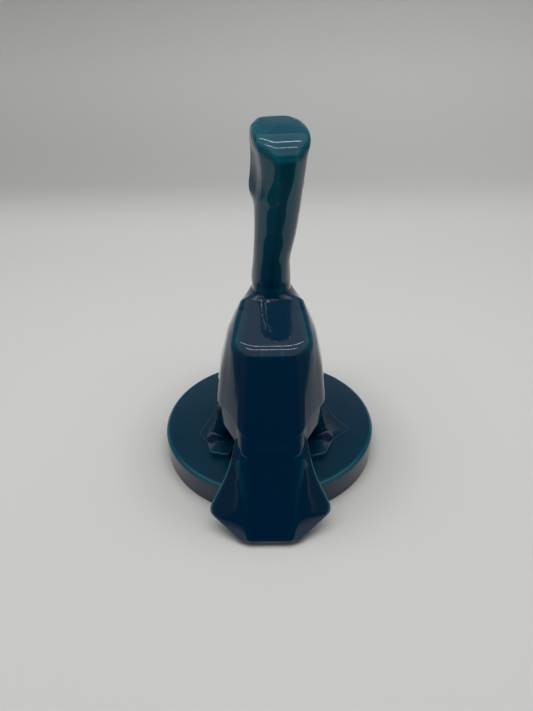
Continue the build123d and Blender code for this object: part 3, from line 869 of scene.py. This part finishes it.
# ---------------------------------------------------------------------------------- head
# A small hollow casting with a flat sloping crown and full cheeks, turned a little to the left. It
# has no eyes.
skin_tube("head_casting", "head", NECK_TOP_V, skin.v_knots[-1] - 0.02)

# ---------------------------------------------------------------------------------- bill
# A long solid bill, pressed in a mould and luted to the face. It runs down the front of the neck
# and rests on the breast.
BILL_SWAY = -1.9
BILL_FACET_ROUND = 3.4
BILL_TABLE = [
    # height, back and front reach, half breadth at the back, middle and front
    (191.0, -19, -28.5, 6.0, 5.0, 2.2),
    (184.0, -19, -34.5, 7.6, 7.0, 2.8),
    (176.0, -19, -37.0, 8.2, 7.8, 3.2),
    (165.0, -17, -38.0, 8.5, 8.2, 3.4),
    (146.0, -17, -38.0, 8.0, 7.8, 3.1),
    (126.0, -20, -39.6, 6.5, 6.4, 2.6),
    (111.0, -26, -41.0, 4.6, 4.6, 1.8),
    (101.0, -32, -42.5, 3.0, 3.0, 1.2),
    (96.5, -36, -42.6, 1.6, 1.6, 0.8),
]


def bill_ring(height, back, front, wide, middle, narrow):
    """Twelve corners: widest near the neck, and drawn in to a narrow ridge in front."""
    halves = [(wide * 0.7, 0), (wide, .15), (wide, .35), (middle, .6), (narrow, .9), (narrow * .5, 1)]
    return ring((back, height), (front, height), BILL_SWAY, 0, halves)


BILL_CAGE = np.array([bill_ring(*row) for row in BILL_TABLE])
bill_knots = knots_of(BILL_CAGE[1:7], True)
bill_cage = Cage(
    BILL_CAGE, np.array([2, 5, 6, 8, 8, 8, 6, 3, 1.5]), np.full(len(BILL_CAGE), BILL_FACET_ROUND),
    bill_knots)
bill_v = spaced(0, bill_cage.v_knots[-1], 0.6)
bill_u = spaced(0, bill_knots[-1], 0.7)[:-1]
u, v = np.meshgrid(bill_u, bill_v)
bill = bill_cage.point(u, v)
bill_normals = -bill_cage.normal(u, v)
bill_thin = glaze_thinness(bill, bill_normals, False, True)
columns = len(bill_u)
rows = len(bill_v)
glazed_piece(
    "bill_long", bill.reshape(-1, 3), grid_faces(rows, columns, False, True),
    bill_normals.reshape(-1, 3), bill_thin.ravel(), ["bill"],
    caps=end_caps(rows, columns))

# ---------------------------------------------------------------------------------- surroundings
# A pale table that curves up into a far wall, inside a white tent lit by two thin strips overhead.
# The open side of the tent, where the camera stands, is dark and shows only in the gloss.
FLOOR = (0.602, 0.602, 0.592, 1.0)
GLOOM = (0.004, 0.004, 0.005, 1.0)


def stage_material(name, colour, roughness):
    """A dull even paint."""
    material = bpy.data.materials.new(name)
    material.use_nodes = True
    shader = material.node_tree.nodes["Principled BSDF"]
    shader.inputs["Base Color"].default_value = colour
    shader.inputs["Roughness"].default_value = roughness
    shader.inputs["Specular IOR Level"].default_value = 0.1
    return material


def stage_sheet(name, profile, half_width, material):
    """A profile of (y, z) points in metres carried straight across."""
    sheet_profile = np.array(profile)
    count = len(sheet_profile)
    points = np.concatenate([
        np.column_stack([np.full(count, x), sheet_profile]) for x in (-half_width, half_width)])
    mesh = bpy.data.meshes.new(name)
    mesh.from_pydata(points.tolist(), [], grid_faces(2, count, False, False).tolist())
    mesh.shade_smooth()
    mesh.materials.append(material)
    sheet = bpy.data.objects.new(name, mesh)
    bpy.context.scene.collection.objects.link(sheet)
    return sheet


SWEEP_START = -0.36
SWEEP_RADIUS = 0.28
sweep_arc = [
    (SWEEP_START - SWEEP_RADIUS * np.sin(a), SWEEP_RADIUS * (1 - np.cos(a)))
    for a in np.linspace(0, np.pi / 2, 40)]
floor_material = stage_material("pale_table", FLOOR, 0.6)
tree = floor_material.node_tree
place = add_node(tree, "ShaderNodeSeparateXYZ", {}, {
    0: add_node(tree, "ShaderNodeTexCoord", {}, {})[3]})
aside = abs(place[0])
# 1 where the paint is black. It is painted shade: darker up the wall and high on it, more on one
# side, towards the top right and away to the sides, with a painted contact shadow close round the
# base and a little painted light part way up the wall.
shade = place[2].ramp(0.0, 0.05) * (0.22 + 0.12 * place[0].ramp(-0.35, 0.35))
shade = shade - place[2].ramp(0.06, 0.20) * 0.14 + place[2].ramp(0.24, 0.60) * 0.55
shade = shade + aside.ramp(0.38, 0.70) * place[1].ramp(-0.5, -0.2) * 0.75
radius = (place[0] * place[0] + place[1] * place[1]) ** 0.5
# Painted contact shadow close round the base.
shade = shade + (1 - radius.ramp(0.07, 0.115)) * 0.13
shade = shade + place[2].ramp(0.40, 0.70) * (1 - place[0].ramp(-0.35, 0.35)) * 0.16
floor_tone = mix_colour(tree, shade, FLOOR, GLOOM)
tree.links.new(floor_tone.socket, tree.nodes["Principled BSDF"].inputs["Base Color"])
stage_sheet(
    "table", [(3.0, 0.0)] + sweep_arc + [(SWEEP_START - SWEEP_RADIUS, 1.2)], 3.0, floor_material)

dark = stage_material("dark_opening", GLOOM, 0.9)
tree = dark.node_tree
place = add_node(tree, "ShaderNodeSeparateXYZ", {}, {
    0: add_node(tree, "ShaderNodeTexCoord", {}, {})[3]})
dark_tone = mix_colour(tree, place[1].ramp(0.18, 0.21), (0.05, 0.055, 0.06, 1.0), GLOOM)
tree.links.new(dark_tone.socket, tree.nodes["Principled BSDF"].inputs["Base Color"])
opening = stage_sheet("dark_opening", [(0.185, 0.003), (0.50, 0.003), (0.56, 0.62)], 0.42, dark)
opening.visible_camera = False
opening.visible_shadow = False

TENT_SIDES = (0.072, 0.072, 0.0713, 1.0)
TENT_TOP = (0.522, 0.522, 0.5168, 1.0)
world = bpy.data.worlds.new("tent")
bpy.context.scene.world = world
world.use_nodes = True
tree = world.node_tree
toward = add_node(tree, "ShaderNodeSeparateXYZ", {}, {
    0: add_node(tree, "ShaderNodeTexCoord", {}, {})[3]})
sky = mix_colour(tree, toward[2].ramp(0.45, 0.80), TENT_SIDES, TENT_TOP)
tree.links.new(sky.socket, tree.nodes["Background"].inputs["Color"])


def strip_light(name, place, size, brightness, glossy=True, tilt=0.0):
    """A rectangular light that faces down, or is turned from there by tilt. Its brightness is what a
    mirror would show, and with glossy False it lights but does not show in the glaze."""
    light = bpy.data.lights.new(name, "AREA")
    light.shape = "RECTANGLE"
    light.size, light.size_y = size
    light.energy = brightness * np.pi * size[0] * size[1]
    lamp = bpy.data.objects.new(name, light)
    lamp.location = place
    lamp.rotation_euler = (tilt, 0, 0)
    lamp.visible_camera = False
    lamp.visible_glossy = glossy
    bpy.context.scene.collection.objects.link(lamp)


STRIP_SIZE = (0.46, 0.014)
STRIP_HEIGHT = 0.72
strip_light("strip_near", (0.0, 0.16, STRIP_HEIGHT), STRIP_SIZE, 16.0)
strip_light("strip_far", (0.0, -0.06, STRIP_HEIGHT), STRIP_SIZE, 16.0)
strip_light("ceiling_glow", (0.0, -0.30, 1.1), (1.6, 1.6), 1.78, glossy=False)
strip_light("room_glow", (0.0, 1.15, 0.55), (1.6, 1.0), 0.9, glossy=False, tilt=-1.15)

# ---------------------------------------------------------------------------------- camera
# The camera stands behind the bird and above it, and looks down its back to the base. Its place is
# in millimetres, and its directions are to its right, upwards and backwards.
CAMERA_PLACE = np.array([-1.85, 287.17, 251.02])
CAMERA_RIGHT = (-0.9999, -0.0005, -0.0153)
CAMERA_UP = (-0.0126, -0.5374, 0.8433)
CAMERA_BACK = (-0.0087, 0.8433, 0.5373)
lens = bpy.data.cameras.new("camera")
lens.lens = 27.04
lens.sensor_width = 36.0
lens.clip_start = 0.01
camera = bpy.data.objects.new("camera", lens)
bpy.context.scene.collection.objects.link(camera)
facing = Matrix((CAMERA_RIGHT, CAMERA_UP, CAMERA_BACK)).transposed()
camera.matrix_world = Matrix.Translation(CAMERA_PLACE * MM) @ facing.to_4x4()
bpy.context.scene.camera = camera
bpy.context.scene.view_settings.view_transform = "Standard"
